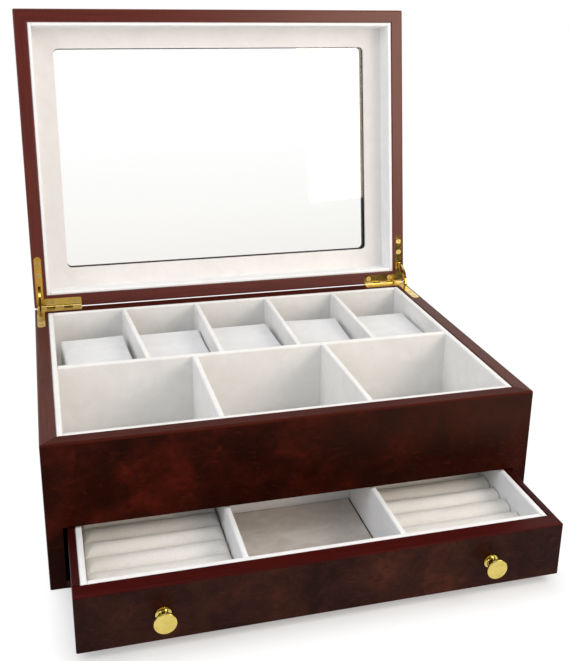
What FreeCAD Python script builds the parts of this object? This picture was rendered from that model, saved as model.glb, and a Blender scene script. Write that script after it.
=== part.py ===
import FreeCAD, Part
import math
import os

from FreeCAD import Vector

os.makedirs("parts", exist_ok=True)

# A wooden jewelry and watch box: a lined case with a watch tray, a glass-top lid and one drawer.
# Millimetres. The origin is the middle of the case's underside, +Z is up and the front faces -Y.
# The part rests as it is shown in use: lid open against its stays, drawer pulled part way out.

# Case of mitred boards
case_width = 318.0
case_depth = 234.0
case_height = 99.0
wall = 10.0
edge_round = 1.2
inner_edge_round = 0.6
foot_edge_round = 0.4
base_board_thickness = 5.0
groove_depth = 3.0
board_clearance = 0.1
overcut = 1.0
same_place = 1e-4
soft_edge_angles = [0, 30, 60, 90]

# Tray in the top of the case
tray_depth = 50.0
tray_floor_thickness = 3.5
lining = 4.0
lining_drop = 0.4
lining_round = 1.2
front_bay_depth = 97.5
mid_wall_thickness = 5.0
divider_thickness = 3.8
divider_round = 1.1
watch_divider_slants = [(-1.1, 6.2), (-0.6, 0.4), (0.3, 0.0), (0.0, 0.0)]
front_divider_slants = [(-0.4, 0.0), (-1.8, 0.0)]
watch_bay_count = 5
front_bay_count = 3

# Watch pillows, which lift out
pillow_side_gap = 3.0
pillow_length = 50.0
pillow_height = 36.7
pillow_crown = 0.6
pillow_crown_steps = 4
pillow_crown_end = 0.9
pillow_waist = 0.4
pillow_waist_steps = 4
pillow_corner_round = 2.0
pillow_edge_round = 1.2
pillow_seat_gap = 0.3
pillow_rear_gaps = [23.5, 24.2, 23.0, 22.0, 24.3]
pillow_shifts = [1.9, 2.0, -0.2, -0.6, 1.2]
pillow_turns = [3.0, 0.5, 0.8, -3.2, 0.5]

# Drawer and its opening
front_rail_height = 56.4
drawer_pulled_out = 67.5
drawer_sideways = 0.8
drawer_side_clearance = 1.6
drawer_top_clearance = 1.1
drawer_bottom_clearance = 0.2
drawer_rear_clearance = 0.5
drawer_front_thickness = 11.2
drawer_side_thickness = 4.5
drawer_edge_round = 0.8
drawer_bottom_thickness = 3.0
drawer_bottom_lift = 0.6
drawer_lining = 4.0
drawer_lining_drop = 0.3
drawer_front_bay_depth = 94.8
cross_wall_thickness = 3.6
drawer_divider_thickness = 3.6
drawer_divider_places = {"left": -49.2, "right": 48.0}
floor_pad_thickness = 1.0
floor_pad_clearance = 0.3

# Ring rolls in the drawer
ring_roll_count = 6
ring_roll_height = 18.0
ring_roll_gap = 0.1
ring_roll_end_round = 1.0
ring_roll_side_gap = 0.5
ring_roll_far_gap = 0.3
ring_roll_front_gap = 0.2
ring_roll_rear_gap = 1.6

# Turned knobs, each held by a screw from inside the drawer
knob_end_inset = 48.0
knob_face_radius = 6.5
knob_face_thickness = 1.5
knob_neck_radius = 2.7
knob_neck_start = 3.0
knob_neck_length = 1.6
knob_base_radius = 4.5
knob_base_thickness = 1.0
knob_projection = 9.8
knob_rim_round = 0.5
knob_hollow = 0.45
knob_screw_radius = 1.95
knob_screw_clearance = 0.15
knob_screw_bite = 5.0
knob_screw_head_radius = 3.5
knob_screw_head_height = 2.2
knob_counterbore_clearance = 0.6
knob_counterbore_depth = 3.0

# Lid with a glass window
lid_gap = 0.3
lid_rail_height = 22.0
lid_board_thickness = 10.5
lid_open_angle = 98.9
lid_top_round = 2.0
lid_lining = 3.0
mat_thickness = 2.0
window_side_margin = 28.5
window_end_margin = 28.6
window_corner_round = 4.0
glass_thickness = 3.0
glass_overlap = 5.0
glass_clearance = 0.3

# Quadrant hinges let into the rims at the rear corners
barrel_offset = 0.0
barrel_radius = 2.0
barrel_start = 2.7
barrel_clearance = 0.35
knuckle_count = 5
knuckle_length = 6.8
knuckle_gap = 0.15
knuckle_clearance = 0.2
pin_radius = 0.9
pin_fixed_clearance = 0.01
pin_running_clearance = 0.05
pin_end = 0.3
leaf_thickness = 1.5
leaf_inset = 1.8
leaf_width = 5.8
leaf_corner_round = 1.0
rear_arm_width = 7.6
long_arm = 42.0
rear_arm_overhang = 0.4
leaf_recess_clearance = 0.1
long_arm_screws = [27.0, 36.5]
rear_arm_screws = [13.5, 33.0]
rear_screw_inset = 4.8

# Curved stays that slide in the hinge leaves
stay_inner_radius = 13.4
stay_outer_radius = 17.8
stay_thickness = 1.6
stay_tail_angle = 14.0
stay_ear_angle = 6.0
stay_ear_width = 3.4
stay_ear_inset = 0.2
stay_slot_clearance = 0.3
stay_pocket_clearance = 0.6
stay_pocket_end_angle = 5.0
stay_pocket_near_angle = 3.0

# Countersunk wood screws of the hinges
screw_head_radius = 2.2
screw_radius = 1.1
screw_head_depth = 1.27
screw_length = 9.0
screw_slot_width = 0.5
screw_slot_depth = 0.45

# Places worked out from the sizes
half_width = case_width / 2
front_y = -case_depth / 2
rear_y = case_depth / 2
inner_x = half_width - wall
inner_front_y = front_y + wall
inner_rear_y = rear_y - wall
tray_floor_z = case_height - tray_depth
tray_x = inner_x - lining
tray_front_y = inner_front_y + lining
tray_rear_y = inner_rear_y - lining
tray_top_z = case_height - lining_drop
mid_wall_y = tray_front_y + front_bay_depth
watch_bay_front_y = mid_wall_y + mid_wall_thickness
opening_z = case_height - front_rail_height

drawer_x = inner_x - drawer_side_clearance
drawer_z = base_board_thickness + drawer_bottom_clearance
drawer_top_z = opening_z - drawer_top_clearance
drawer_rear_y = inner_rear_y - drawer_rear_clearance
drawer_inner_x = drawer_x - drawer_side_thickness
drawer_inner_front_y = front_y + drawer_front_thickness
drawer_inner_rear_y = drawer_rear_y - drawer_side_thickness
drawer_floor_z = drawer_z + drawer_bottom_lift + drawer_bottom_thickness
drawer_lining_top_z = drawer_top_z - drawer_lining_drop
drawer_bay_x = drawer_inner_x - drawer_lining
drawer_bay_front_y = drawer_inner_front_y + drawer_lining
drawer_bay_rear_y = drawer_inner_rear_y - drawer_lining
cross_wall_y = drawer_bay_front_y + drawer_front_bay_depth
rear_drawer_bay_y = cross_wall_y + cross_wall_thickness
knob_z = (drawer_z + drawer_top_z) / 2
knob_x = drawer_x - knob_end_inset

lid_z = case_height + lid_gap
lid_board_z = lid_z + lid_rail_height
lid_top_z = lid_board_z + lid_board_thickness
mat_z = lid_board_z - mat_thickness
window_width = case_width - 2 * window_side_margin
window_length = case_depth - 2 * window_end_margin
hinge_y = rear_y + barrel_offset
hinge_z = case_height + lid_gap / 2
stay_center = leaf_inset + leaf_width / 2
barrel_end = barrel_start + knuckle_count * knuckle_length
rear_arm = barrel_end + rear_arm_overhang

LEFT = -1
RIGHT = 1
SIDES = {"left": LEFT, "right": RIGHT}


def box(x_range, y_range, z_range):
    corner = Vector(x_range[0], y_range[0], z_range[0])
    length = x_range[1] - x_range[0]
    depth = y_range[1] - y_range[0]
    height = z_range[1] - z_range[0]
    return Part.makeBox(length, depth, height, corner)


def plate(points, z_range):
    corners = [Vector(x, y, z_range[0]) for x, y in points]
    outline = Part.makePolygon(corners + corners[:1])
    return Part.Face(outline).extrude(Vector(0, 0, z_range[1] - z_range[0]))


def rod(start, direction, radius, length):
    return Part.makeCylinder(radius, length, start, direction)


def lies_at(edge, z):
    bounds = edge.BoundBox
    return abs(bounds.ZMin - z) < same_place and abs(bounds.ZMax - z) < same_place


def is_upright(edge):
    bounds = edge.BoundBox
    return bounds.XLength < same_place and bounds.YLength < same_place


def is_inner_edge_at(edge, z):
    bounds = edge.BoundBox
    reach_x = max(bounds.XMax, -bounds.XMin)
    reach_y = max(bounds.YMax, -bounds.YMin)
    return lies_at(edge, z) and reach_x < half_width - wall / 2 and reach_y < rear_y - wall / 2


def is_long_edge_at(edge, z):
    return lies_at(edge, z) and edge.Length > 2 * drawer_side_thickness


def round_edges(shape, radius, chosen):
    return shape.makeFillet(radius, [edge for edge in shape.Edges if chosen(edge)])


def rounded_block(x_range, y_range, z_range, upright_round, top_round, bottom_round):
    block = round_edges(box(x_range, y_range, z_range), upright_round, is_upright)
    block = round_edges(block, top_round, lambda edge: lies_at(edge, z_range[1]))
    return round_edges(block, bottom_round, lambda edge: lies_at(edge, z_range[0]))


def rounded_window(width, length, corner_round, z_range):
    block = box((-width / 2, width / 2), (-length / 2, length / 2), z_range)
    return round_edges(block, corner_round, is_upright)


def save(node, *solids):
    shape = solids[0] if len(solids) == 1 else Part.makeCompound(list(solids))
    shape.exportStep("parts/" + node + ".step")


def lifted_open(shape):
    shape = shape.copy()
    shape.rotate(Vector(0, hinge_y, hinge_z), Vector(1, 0, 0), -lid_open_angle)
    return shape


def pulled_out(shape):
    shape = shape.copy()
    shape.translate(Vector(drawer_sideways, -drawer_pulled_out, 0))
    return shape


# Mitred boards: each is the part of a hollow block that lies on its side of the corner joints
def mitre_plan(name):
    if name in ("front", "back"):
        outer_y = front_y if name == "front" else rear_y
        inner_y = inner_front_y if name == "front" else inner_rear_y
        return [(-half_width, outer_y), (half_width, outer_y), (inner_x, inner_y), (-inner_x, inner_y)]
    outer_x = SIDES[name] * half_width
    board_x = SIDES[name] * inner_x
    return [(outer_x, front_y), (outer_x, rear_y), (board_x, inner_rear_y), (board_x, inner_front_y)]


def mitred_boards(hollow_block, z_range):
    names = ("front", "back", "left", "right")
    return {name: hollow_block.common(plate(mitre_plan(name), z_range)) for name in names}


# Lining boards are wrapped in cloth, so their free edges are round
def wrapped_board(x_range, y_range, z_range, round_z, radius):
    return round_edges(box(x_range, y_range, z_range), radius, lambda edge: lies_at(edge, round_z))


# A divider between two walls. Its rear and front ends may stand a little off the place they should have.
def wrapped_divider(x_range, y_range, slant):
    rear_shift, front_shift = slant
    corners = [
        (x_range[0] + front_shift, y_range[0]),
        (x_range[1] + front_shift, y_range[0]),
        (x_range[1] + rear_shift, y_range[1]),
        (x_range[0] + rear_shift, y_range[1]),
    ]
    return round_edges(plate(corners, tray_z_range), divider_round, lambda edge: lies_at(edge, tray_top_z))


def lining_set(x_limit, y_range, z_range, thickness, round_z, radius):
    side_inner = x_limit - thickness
    boards = {
        "left": ((-x_limit, -side_inner), y_range),
        "right": ((side_inner, x_limit), y_range),
        "front": ((-side_inner, side_inner), (y_range[0], y_range[0] + thickness)),
        "back": ((-side_inner, side_inner), (y_range[1] - thickness, y_range[1])),
    }
    return {name: wrapped_board(x, y, z_range, round_z, radius) for name, (x, y) in boards.items()}


def bay_edges(x_limit, count, wall_thickness):
    bay = (2 * x_limit - (count - 1) * wall_thickness) / count
    starts = [-x_limit + i * (bay + wall_thickness) for i in range(count)]
    return [(start, start + bay) for start in starts]


# Hinges. A place on a rim is given by its distance in from the side face and from the rear face.
def rim_x(side, inset):
    return side * (half_width - inset)


def span_x(side, inset_range):
    ends = [rim_x(side, inset_range[0]), rim_x(side, inset_range[1])]
    return (min(ends), max(ends))


def leaf_plan(side, z_range, margin):
    long_x = span_x(side, (leaf_inset - margin, leaf_inset + leaf_width + margin))
    rear_x = span_x(side, (leaf_inset - margin, rear_arm + margin))
    end_round = leaf_width / 2 + margin
    end_y = rear_y - long_arm + leaf_width / 2
    height = z_range[1] - z_range[0]
    arm = box(long_x, (end_y, rear_y), z_range)
    arm_end = rod(Vector(rim_x(side, stay_center), end_y, z_range[0]), Vector(0, 0, 1), end_round, height)
    rear = box(rear_x, (rear_y - rear_arm_width - margin, rear_y), z_range)
    far_x = half_width - rear_arm + leaf_corner_round
    at_end = lambda edge: is_upright(edge) and abs(edge.BoundBox.XMin) < far_x
    rear = round_edges(rear, leaf_corner_round, at_end)
    return arm.fuse([arm_end, rear]).removeSplitter()


def barrel_rod(side, inset_range, radius):
    x_range = span_x(side, inset_range)
    return rod(Vector(x_range[0], hinge_y, hinge_z), Vector(1, 0, 0), radius, x_range[1] - x_range[0])


def knuckle_span(index):
    start = barrel_start + index * knuckle_length
    return (start + knuckle_gap / 2, start + knuckle_length - knuckle_gap / 2)


def arc_block(side, x_width, radii, angles):
    x_middle = rim_x(side, stay_center)
    x_range = (x_middle - x_width / 2, x_middle + x_width / 2)
    corners = [
        Vector(x_range[0], hinge_y - radii[0], hinge_z),
        Vector(x_range[1], hinge_y - radii[0], hinge_z),
        Vector(x_range[1], hinge_y - radii[1], hinge_z),
        Vector(x_range[0], hinge_y - radii[1], hinge_z),
    ]
    section = Part.Face(Part.makePolygon(corners + corners[:1]))
    center = Vector(0, hinge_y, hinge_z)
    section.rotate(center, Vector(1, 0, 0), -angles[0])
    return section.revolve(center, Vector(1, 0, 0), angles[0] - angles[1])


def stay_slot(side):
    reach = stay_slot_clearance
    radii = (stay_inner_radius - reach, stay_outer_radius + reach)
    angle = stay_tail_angle + stay_ear_angle
    return arc_block(side, stay_thickness + 2 * reach, radii, (-angle, angle))


def stay_pocket(side, upward):
    reach = stay_pocket_clearance
    radii = (stay_inner_radius - reach, stay_outer_radius + reach)
    far = lid_open_angle / 2 + stay_tail_angle + stay_pocket_end_angle
    near = stay_pocket_near_angle
    angles = (-near, far) if upward else (-far, near)
    return arc_block(side, stay_ear_width + 2 * reach, radii, angles)


def stay(side):
    top = lid_open_angle + stay_tail_angle
    strip_radii = (stay_inner_radius, stay_outer_radius)
    ear_radii = (stay_inner_radius + stay_ear_inset, stay_outer_radius - stay_ear_inset)
    strip = arc_block(side, stay_thickness, strip_radii, (-stay_tail_angle, top))
    low_ear = arc_block(side, stay_ear_width, ear_radii, (-stay_tail_angle, stay_ear_angle - stay_tail_angle))
    high_ear = arc_block(side, stay_ear_width, ear_radii, (top - stay_ear_angle, top))
    return strip.fuse([low_ear, high_ear]).removeSplitter()


def screw_places(side):
    places = [(rim_x(side, stay_center), rear_y - distance) for distance in long_arm_screws]
    return places + [(rim_x(side, inset), rear_y - rear_screw_inset) for inset in rear_arm_screws]


def countersunk_screw(x, y, face_z, down):
    direction = Vector(0, 0, -1 if down else 1)
    top = Vector(x, y, face_z)
    head = Part.makeCone(screw_head_radius, screw_radius, screw_head_depth, top, direction)
    shank = rod(top, direction, screw_radius, screw_length)
    return head.fuse(shank).removeSplitter()


def slotted(screw, x, y, face_z, down):
    far_z = face_z - screw_slot_depth if down else face_z + screw_slot_depth
    slot_z = (min(face_z, far_z), max(face_z, far_z))
    half = screw_slot_width / 2
    slot = box((x - half, x + half), (y - 2 * screw_head_radius, y + 2 * screw_head_radius), slot_z)
    return screw.cut(slot)


def hinge_leaf(side, on_case):
    z_range = (case_height - leaf_thickness, case_height) if on_case else (lid_z, lid_z + leaf_thickness)
    face_z = case_height if on_case else lid_z
    leaf = leaf_plan(side, z_range, 0.0)
    own = [i for i in range(knuckle_count) if (i % 2 == 0) == on_case]
    others = [i for i in range(knuckle_count) if (i % 2 == 0) != on_case]
    tongues = [box(span_x(side, knuckle_span(i)), (rear_y - barrel_radius, hinge_y), z_range) for i in own]
    knuckles = [barrel_rod(side, knuckle_span(i), barrel_radius) for i in own]
    leaf = leaf.fuse(tongues + knuckles)
    for i in others:
        start, end = knuckle_span(i)
        room = (start - knuckle_gap, end + knuckle_gap)
        leaf = leaf.cut(barrel_rod(side, room, barrel_radius + knuckle_clearance))
    bore_clearance = pin_fixed_clearance if on_case else pin_running_clearance
    bore_range = (barrel_start - overcut, barrel_end + overcut)
    leaf = leaf.cut(barrel_rod(side, bore_range, pin_radius + bore_clearance))
    leaf = leaf.cut(stay_slot(side))
    for x, y in screw_places(side):
        leaf = leaf.cut(countersunk_screw(x, y, face_z, on_case))
    return leaf.removeSplitter()


def hinge_cuts(side, on_case):
    z_range = (case_height - leaf_thickness, case_height + overcut)
    if not on_case:
        z_range = (lid_z - overcut, lid_z + leaf_thickness)
    face_z = case_height if on_case else lid_z
    recess = leaf_plan(side, z_range, leaf_recess_clearance)
    strip_y = (rear_y - barrel_radius, rear_y + overcut)
    edge_strip = box(span_x(side, (barrel_start, barrel_end)), strip_y, z_range)
    barrel_room = (barrel_start - barrel_clearance - pin_end, barrel_end + barrel_clearance + pin_end)
    relief = barrel_rod(side, barrel_room, barrel_radius + barrel_clearance)
    screws = [countersunk_screw(x, y, face_z, on_case) for x, y in screw_places(side)]
    return [recess, edge_strip, relief, stay_pocket(side, not on_case)] + screws


def hinge_screws(on_case):
    face_z = case_height if on_case else lid_z
    places = screw_places(LEFT) + screw_places(RIGHT)
    return [slotted(countersunk_screw(x, y, face_z, on_case), x, y, face_z, on_case) for x, y in places]


def hinge_pin(side):
    return barrel_rod(side, (barrel_start - pin_end, barrel_end + pin_end), pin_radius)


# Case boards: a rounded hollow block, parted at the mitres, with the drawer opening in the front
case_block = rounded_block(
    (-half_width, half_width), (front_y, rear_y), (0, case_height), edge_round, edge_round, foot_edge_round
)
case_hollow = box((-inner_x, inner_x), (inner_front_y, inner_rear_y), (-overcut, case_height + overcut))
case_block = case_block.cut(case_hollow)
case_block = round_edges(case_block, inner_edge_round, lambda edge: is_inner_edge_at(edge, case_height))
tray_floor_z_range = (tray_floor_z - tray_floor_thickness, tray_floor_z)
groove_x = inner_x + groove_depth
groove_y = inner_rear_y + groove_depth
groove = box(
    (-groove_x, groove_x),
    (-groove_y, groove_y),
    (tray_floor_z_range[0] - board_clearance, tray_floor_z_range[1] + board_clearance),
)
drawer_opening = box((-inner_x, inner_x), (front_y - overcut, inner_front_y + overcut), (-overcut, opening_z))
case_cuts = [groove] + hinge_cuts(LEFT, True) + hinge_cuts(RIGHT, True)
for name, board in mitred_boards(case_block, (0, case_height)).items():
    board = board.cut(case_cuts)
    if name == "front":
        board = board.cut(drawer_opening)
    save("case_" + name, board.removeSplitter())

save("case_base_board", box((-inner_x, inner_x), (front_y, inner_rear_y), (0, base_board_thickness)))
tray_floor_x = groove_x - board_clearance
tray_floor_y = groove_y - board_clearance
save("tray_floor", box((-tray_floor_x, tray_floor_x), (-tray_floor_y, tray_floor_y), tray_floor_z_range))

# Tray lining, mid wall and dividers
tray_z_range = (tray_floor_z, tray_top_z)
tray_y_range = (inner_front_y, inner_rear_y)
tray_lining = lining_set(inner_x, tray_y_range, tray_z_range, lining, tray_top_z, lining_round)
for name, board in tray_lining.items():
    save("tray_lining_" + name, board)

save(
    "tray_mid_wall",
    wrapped_board((-tray_x, tray_x), (mid_wall_y, watch_bay_front_y), tray_z_range, tray_top_z, lining_round),
)

watch_bays = bay_edges(tray_x, watch_bay_count, divider_thickness)
pillow_width = watch_bays[0][1] - watch_bays[0][0] - 2 * pillow_side_gap
for i in range(watch_bay_count - 1):
    x_range = (watch_bays[i][1], watch_bays[i + 1][0])
    y_range = (watch_bay_front_y, tray_rear_y)
    save("watch_divider_" + str(i + 1), wrapped_divider(x_range, y_range, watch_divider_slants[i]))

front_bays = bay_edges(tray_x, front_bay_count, divider_thickness)
for i in range(front_bay_count - 1):
    x_range = (front_bays[i][1], front_bays[i + 1][0])
    y_range = (tray_front_y, mid_wall_y)
    save("front_divider_" + str(i + 1), wrapped_divider(x_range, y_range, front_divider_slants[i]))


# Soft forms are lofts through flat outlines of lines and quarter arcs. A soft edge turns through
# the same few angles everywhere: each gives the inset of the outline and its distance from the end.
def soft_edge(radius):
    turns = [math.radians(angle) for angle in soft_edge_angles]
    return [(radius * (1 - math.sin(turn)), radius * (1 - math.cos(turn))) for turn in turns]


def quarter(start, corner, end):
    middle = start + end - corner
    bend = middle + (corner - middle) * math.sqrt(0.5)
    return Part.Arc(start, bend, end).toShape()


def rounded_outline(x_middle, y_middle, half_x, half_y, corner_round, z):
    corners = [(1, -1), (1, 1), (-1, 1), (-1, -1)]
    edges = []
    for i in range(4):
        here = Vector(x_middle + corners[i][0] * half_x, y_middle + corners[i][1] * half_y, z)
        before = Vector(x_middle + corners[i - 1][0] * half_x, y_middle + corners[i - 1][1] * half_y, z)
        after = corners[(i + 1) % 4]
        beyond = Vector(x_middle + after[0] * half_x, y_middle + after[1] * half_y, z)
        incoming = (before - here).normalize() * corner_round
        outgoing = (beyond - here).normalize() * corner_round
        edges.append(quarter(here + incoming, here, here + outgoing))
        edges.append(Part.makeLine(here + outgoing, beyond - outgoing))
    return Part.Wire(edges)


# Watch pillows: firm padded blocks with sides that draw in a little, soft edges and a slight crown
def pillow_sections():
    sections = soft_edge(pillow_edge_round)
    side_start = pillow_edge_round
    side_end = pillow_height - pillow_crown - pillow_edge_round
    for i in range(1, pillow_waist_steps):
        share = i / pillow_waist_steps
        inset = pillow_waist * (1 - (2 * share - 1) ** 2)
        sections.append((inset, side_start + share * (side_end - side_start)))
    edge_top = side_end + pillow_edge_round
    sections += [(inset, edge_top - drop) for inset, drop in reversed(soft_edge(pillow_edge_round))]
    crown_reach = pillow_crown_end * (pillow_width / 2 - pillow_edge_round)
    for i in range(1, pillow_crown_steps + 1):
        share = i / pillow_crown_steps
        rise = pillow_crown * (1 - (1 - share) ** 2)
        sections.append((pillow_edge_round + share * crown_reach, edge_top + rise))
    return sections


def watch_pillow(x_middle, rear_gap, turn):
    seat_z = tray_floor_z + pillow_seat_gap
    y_middle = tray_rear_y - rear_gap - pillow_length / 2
    outlines = []
    for inset, height in pillow_sections():
        half_x = pillow_width / 2 - inset
        half_y = pillow_length / 2 - inset
        corner_round = min(pillow_corner_round, half_x / 2)
        outlines.append(rounded_outline(x_middle, y_middle, half_x, half_y, corner_round, seat_z + height))
    pillow = Part.makeLoft(outlines, True, True)
    pillow.rotate(Vector(x_middle, y_middle, 0), Vector(0, 0, 1), turn)
    return pillow


for i in range(watch_bay_count):
    x_middle = (watch_bays[i][0] + watch_bays[i][1]) / 2 + pillow_shifts[i]
    save("watch_pillow_" + str(i + 1), watch_pillow(x_middle, pillow_rear_gaps[i], pillow_turns[i]))

# Lid rails and top board, with the window, the glass rebate and the hinge recesses
lid_block = rounded_block(
    (-half_width, half_width), (front_y, rear_y), (lid_z, lid_top_z), edge_round, lid_top_round, edge_round
)
lid_hollow = box((-inner_x, inner_x), (inner_front_y, inner_rear_y), (lid_z - overcut, lid_board_z))
lid_block = lid_block.cut(lid_hollow)
lid_block = round_edges(lid_block, inner_edge_round, lambda edge: is_inner_edge_at(edge, lid_z))
lid_cuts = hinge_cuts(LEFT, False) + hinge_cuts(RIGHT, False)
for name, board in mitred_boards(lid_block, (lid_z, lid_board_z)).items():
    save("lid_rail_" + name, lifted_open(board.cut(lid_cuts).removeSplitter()))

window_z_range = (mat_z - overcut, lid_top_z + overcut)
window = rounded_window(window_width, window_length, window_corner_round, window_z_range)
rebate_z = lid_board_z + glass_thickness + board_clearance
rebate = rounded_window(
    window_width + 2 * glass_overlap,
    window_length + 2 * glass_overlap,
    window_corner_round,
    (lid_board_z - overcut, rebate_z),
)
lid_board = lid_block.common(box((-half_width, half_width), (front_y, rear_y), (lid_board_z, lid_top_z)))
save("lid_top_board", lifted_open(lid_board.cut([window, rebate])))

glass_width = window_width + 2 * (glass_overlap - glass_clearance)
glass_length = window_length + 2 * (glass_overlap - glass_clearance)
glass_z_range = (lid_board_z, lid_board_z + glass_thickness)
glass = rounded_window(glass_width, glass_length, window_corner_round, glass_z_range)
save("lid_glass", lifted_open(glass))

mat_x = inner_x - board_clearance
mat_y = inner_rear_y - board_clearance
mat = box((-mat_x, mat_x), (-mat_y, mat_y), (mat_z, mat_z + mat_thickness))
save("lid_mat", lifted_open(mat.cut(window)))

lid_lining_z = lid_z + lining_drop
lid_linings = lining_set(
    inner_x, (inner_front_y, inner_rear_y), (lid_lining_z, mat_z), lid_lining, lid_lining_z, lining_round
)
for name, board in lid_linings.items():
    save("lid_lining_" + name, lifted_open(board))

# Hinges
for name, side in SIDES.items():
    save("hinge_case_leaf_" + name, hinge_leaf(side, True))
    save("hinge_lid_leaf_" + name, lifted_open(hinge_leaf(side, False)))
    save("hinge_stay_" + name, stay(side))
save("hinge_pins", hinge_pin(LEFT), hinge_pin(RIGHT))
save("hinge_screws_case", *hinge_screws(True))
save("hinge_screws_lid", *[lifted_open(screw) for screw in hinge_screws(False)])

# Drawer box
knob_places = [side * knob_x for side in SIDES.values()]
knob_axis = Vector(0, 1, 0)
counterbore_y = drawer_inner_front_y - knob_counterbore_depth
drawer_front = rounded_block(
    (-drawer_x, drawer_x),
    (front_y, drawer_inner_front_y),
    (drawer_z, drawer_top_z),
    drawer_edge_round,
    drawer_edge_round,
    drawer_edge_round,
)
for x in knob_places:
    hole_radius = knob_screw_radius + knob_screw_clearance
    hole_start = Vector(x, front_y - overcut, knob_z)
    drawer_front = drawer_front.cut(rod(hole_start, knob_axis, hole_radius, drawer_front_thickness))
    seat_radius = knob_screw_head_radius + knob_counterbore_clearance
    seat_start = Vector(x, counterbore_y, knob_z)
    drawer_front = drawer_front.cut(rod(seat_start, knob_axis, seat_radius, knob_counterbore_depth + overcut))
save("drawer_front", pulled_out(drawer_front))

for name, side in SIDES.items():
    x_range = (min(side * drawer_inner_x, side * drawer_x), max(side * drawer_inner_x, side * drawer_x))
    board = box(x_range, (drawer_inner_front_y, drawer_rear_y), (drawer_z, drawer_top_z))
    board = round_edges(board, drawer_edge_round, lambda edge: is_long_edge_at(edge, drawer_top_z))
    save("drawer_side_" + name, pulled_out(board))

drawer_inner_range = (-drawer_inner_x, drawer_inner_x)
drawer_back = box(drawer_inner_range, (drawer_inner_rear_y, drawer_rear_y), (drawer_z, drawer_top_z))
drawer_back = round_edges(drawer_back, drawer_edge_round, lambda edge: is_long_edge_at(edge, drawer_top_z))
save("drawer_back", pulled_out(drawer_back))
drawer_bottom = box(
    drawer_inner_range,
    (drawer_inner_front_y, drawer_inner_rear_y),
    (drawer_z + drawer_bottom_lift, drawer_floor_z),
)
save("drawer_bottom", pulled_out(drawer_bottom))

# Drawer lining, cross wall, dividers and floor pads
drawer_bay_z_range = (drawer_floor_z, drawer_lining_top_z)
drawer_linings = lining_set(
    drawer_inner_x,
    (drawer_inner_front_y, drawer_inner_rear_y),
    drawer_bay_z_range,
    drawer_lining,
    drawer_lining_top_z,
    lining_round,
)
for name, board in drawer_linings.items():
    save("drawer_lining_" + name, pulled_out(board))

cross_wall = wrapped_board(
    (-drawer_bay_x, drawer_bay_x),
    (cross_wall_y, rear_drawer_bay_y),
    drawer_bay_z_range,
    drawer_lining_top_z,
    divider_round,
)
save("drawer_cross_wall", pulled_out(cross_wall))

divider_half = drawer_divider_thickness / 2
for name in SIDES:
    x_middle = drawer_divider_places[name]
    divider = wrapped_board(
        (x_middle - divider_half, x_middle + divider_half),
        (drawer_bay_front_y, cross_wall_y),
        drawer_bay_z_range,
        drawer_lining_top_z,
        divider_round,
    )
    save("drawer_divider_" + name, pulled_out(divider))


def floor_pad(x_range, y_range):
    pad_x = (x_range[0] + floor_pad_clearance, x_range[1] - floor_pad_clearance)
    pad_y = (y_range[0] + floor_pad_clearance, y_range[1] - floor_pad_clearance)
    return box(pad_x, pad_y, (drawer_floor_z, drawer_floor_z + floor_pad_thickness))


middle_bay = (drawer_divider_places["left"] + divider_half, drawer_divider_places["right"] - divider_half)
middle_pad = floor_pad(middle_bay, (drawer_bay_front_y, cross_wall_y))
rear_pad = floor_pad((-drawer_bay_x, drawer_bay_x), (rear_drawer_bay_y, drawer_bay_rear_y))
save("drawer_floor_pads", pulled_out(middle_pad), pulled_out(rear_pad))


# Ring rolls: separate padded rolls side by side, round on top and at both ends, flat underneath
roll_pitch = (drawer_front_bay_depth - ring_roll_front_gap - ring_roll_rear_gap) / ring_roll_count
roll_radius = (roll_pitch - ring_roll_gap) / 2


def roll_outline(x, y_middle, inset):
    radius = roll_radius - inset
    shoulder_z = drawer_floor_z + ring_roll_height - roll_radius
    front = Vector(x, y_middle - radius, shoulder_z)
    crest = Vector(x, y_middle, shoulder_z + radius)
    rear = Vector(x, y_middle + radius, shoulder_z)
    low_front = Vector(x, front.y, drawer_floor_z)
    low_rear = Vector(x, rear.y, drawer_floor_z)
    front_arc = quarter(front, Vector(x, front.y, crest.z), crest)
    rear_arc = quarter(crest, Vector(x, rear.y, crest.z), rear)
    return Part.Wire([front_arc, rear_arc] + Part.makePolygon([rear, low_rear, low_front, front]).Edges)


def ring_roll(x_range, y_middle):
    ends = soft_edge(ring_roll_end_round)
    outlines = [roll_outline(x_range[0] + distance, y_middle, inset) for inset, distance in ends]
    outlines += [roll_outline(x_range[1] - distance, y_middle, inset) for inset, distance in reversed(ends)]
    return Part.makeLoft(outlines, True, True)


def ring_rolls(x_range):
    start_y = drawer_bay_front_y + ring_roll_front_gap + roll_pitch / 2
    return [pulled_out(ring_roll(x_range, start_y + i * roll_pitch)) for i in range(ring_roll_count)]


for name, side in SIDES.items():
    near = drawer_divider_places[name] + side * (divider_half + ring_roll_side_gap)
    far = side * (drawer_bay_x - ring_roll_far_gap)
    save("ring_rolls_" + name, *ring_rolls((min(near, far), max(near, far))))


# Knobs are turned on their axis: a base, a waisted neck and a flat face with a round rim
def hollow_point(outer, inner):
    chord = inner - outer
    corner = Vector(inner.x, outer.y, 0)
    middle = outer + chord * 0.5
    return middle + (corner - middle) * knob_hollow


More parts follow.
